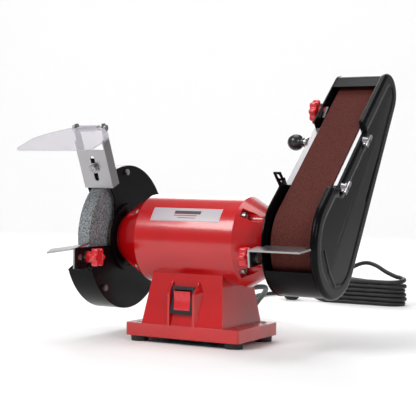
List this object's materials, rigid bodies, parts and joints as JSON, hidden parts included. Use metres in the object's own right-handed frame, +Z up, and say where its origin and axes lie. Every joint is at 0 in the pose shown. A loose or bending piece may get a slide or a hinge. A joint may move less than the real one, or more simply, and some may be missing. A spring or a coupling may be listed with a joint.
{
  "type": "belt grinder",
  "caption": "Bench grinder with a guarded grinding wheel and clear eye shield at one end and a tilting belt sanding arm at the other, on a rubber-footed cast base.",
  "frame": {"origin": "centre of the four bench bolt holes, at the level of the bench under the rubber feet", "axes": "+X along the motor shaft towards the belt arm, -Y towards the operator, +Z up along the bench bolt holes"},
  "size_m": [0.3481, 0.7331, 0.3228],
  "materials": {
    "red_paint": "gloss",
    "black_paint": "semi-gloss",
    "bright_steel": "satin",
    "aluminium": "satin",
    "black_rubber": "matte",
    "black_plastic": "satin",
    "red_plastic": "gloss",
    "clear_plastic": "clear",
    "label_film": "satin",
    "motor_iron": "matte",
    "copper_winding": "satin",
    "grinding_grit": "rough",
    "card": "matte",
    "abrasive_cloth": "rough"
  },
  "bodies": {
    "stand": {"base_casting": "red_paint", "bottom_cover": "black_paint", "rubber_feet": "black_rubber", "bottom_screws": "bright_steel", "switch_frame": "black_plastic", "capacitor": "aluminium", "strain_relief": "black_rubber", "motor_barrel": "red_paint", "left_end_bell": "red_paint", "right_end_bell": "red_paint", "through_bolts": "bright_steel", "stator_core": "motor_iron", "stator_windings": "copper_winding", "bearing_outer_rings": "bright_steel", "name_plate": "label_film", "inner_guard": "black_paint", "outer_guard": "black_paint", "guard_bolts": "bright_steel", "spark_arrester": "black_paint", "bracket_screw": "bright_steel", "cord_lead": "black_rubber", "cord_hank": "black_rubber", "cord_tail": "black_rubber", "plug": "black_rubber"},
    "rocker": {"switch_rocker": "red_plastic"},
    "spindle": {"motor_shaft": "bright_steel", "rotor": "motor_iron", "bearing_inner_rings": "bright_steel", "grinding_wheel": "grinding_grit", "wheel_flanges": "bright_steel", "wheel_blotters": "card", "spindle_nuts": "bright_steel", "drive_pulley": "aluminium"},
    "bracket": {"shield_bracket": "bright_steel", "shield_rod": "bright_steel"},
    "shield": {"eye_shield": "clear_plastic"},
    "left_rest": {"left_rest": "bright_steel", "left_rest_bolt": "bright_steel"},
    "left_knob": {"left_rest_knob": "red_plastic"},
    "arm": {"arm_plate": "black_paint", "arm_cover": "black_paint", "rear_guard": "black_paint", "top_hood": "black_paint", "platen": "bright_steel", "sanding_belt": "abrasive_cloth", "shield_tab": "black_paint", "arm_clamp_screw": "bright_steel", "belt_rest_bolt": "bright_steel", "tension_spring": "bright_steel"},
    "tensioner": {"idler_slide": "bright_steel", "idler_axle": "bright_steel"},
    "idler": {"idler_pulley": "aluminium", "idler_bearings": "bright_steel"},
    "lever": {"tension_lever": "bright_steel", "lever_ball": "black_plastic"},
    "tracking": {"tracking_knob": "red_plastic"},
    "upper_wing": {"upper_wing_nut": "bright_steel"},
    "lower_wing": {"lower_wing_nut": "bright_steel"},
    "belt_rest": {"belt_rest": "bright_steel"},
    "belt_knob": {"belt_rest_knob": "red_plastic"}
  },
  "joints": [
    {"name": "spindle_spin", "type": "hinge", "parent": "stand", "child": "spindle", "pos_m": [0, 0, 0.119], "axis": [1, 0, 0], "continuous": true},
    {"name": "arm_tilt", "type": "hinge", "parent": "stand", "child": "arm", "pos_m": [0.101, 0, 0.119], "axis": [1, 0, 0], "range_deg": [-48, 42]},
    {"name": "idler_spin", "type": "hinge", "parent": "tensioner", "child": "idler", "pos_m": [0.136, 0.15946, 0.2961], "axis": [1, 0, 0], "continuous": true},
    {"name": "belt_tension", "type": "slide", "parent": "arm", "child": "tensioner", "axis": [0, -0.6691, -0.7431], "range_m": [0, 0.006], "deforming": ["tension_spring"]},
    {"name": "tension_lever", "type": "hinge", "parent": "arm", "child": "lever", "pos_m": [0.101, 0.10795, 0.24786], "axis": [1, 0, 0], "range_deg": [-60, 0]},
    {"name": "tracking_turn", "type": "hinge", "parent": "arm", "child": "tracking", "pos_m": [0.097, 0.11079, 0.27492], "axis": [1, 0, 0], "range_deg": [-180, 180]},
    {"name": "upper_wing_turn", "type": "hinge", "parent": "arm", "child": "upper_wing", "pos_m": [0.172, 0.07671, 0.23798], "axis": [1, 0, 0], "range_deg": [0, 180]},
    {"name": "lower_wing_turn", "type": "hinge", "parent": "arm", "child": "lower_wing", "pos_m": [0.172, 0.01254, 0.18346], "axis": [1, 0, 0], "range_deg": [0, 180]},
    {"name": "belt_rest_slide", "type": "slide", "parent": "arm", "child": "belt_rest", "axis": [0, -0.9925, -0.1219], "range_m": [-0.0015, 0.006]},
    {"name": "belt_knob_turn", "type": "hinge", "parent": "arm", "child": "belt_knob", "pos_m": [0.094, -0.07, 0.1066], "axis": [1, 0, 0], "range_deg": [-180, 0]},
    {"name": "left_rest_slide", "type": "slide", "parent": "stand", "child": "left_rest", "axis": [0, -1, 0], "range_m": [-0.004, 0.014]},
    {"name": "left_knob_turn", "type": "hinge", "parent": "left_rest", "child": "left_knob", "pos_m": [-0.094, -0.089, 0.0988], "axis": [1, 0, 0], "range_deg": [0, 180]},
    {"name": "bracket_slide", "type": "slide", "parent": "stand", "child": "bracket", "axis": [0, -0.4115, 0.9114], "range_m": [0, 0.012]},
    {"name": "shield_tilt", "type": "hinge", "parent": "bracket", "child": "shield", "pos_m": [-0.11575, -0.06949, 0.24835], "axis": [1, 0, 0], "range_deg": [-45, 20]},
    {"name": "rocker_tilt", "type": "hinge", "parent": "stand", "child": "rocker", "pos_m": [0, -0.04424, 0.05071], "axis": [1, 0, 0], "range_deg": [-20, 0]}
  ],
  "couplings": [
    {"joint": "idler_spin", "follows": "spindle_spin", "ratio": 2.8869},
    {"joint": "tension_lever", "follows": "belt_tension", "rad_per_m": -174.5}
  ]
}
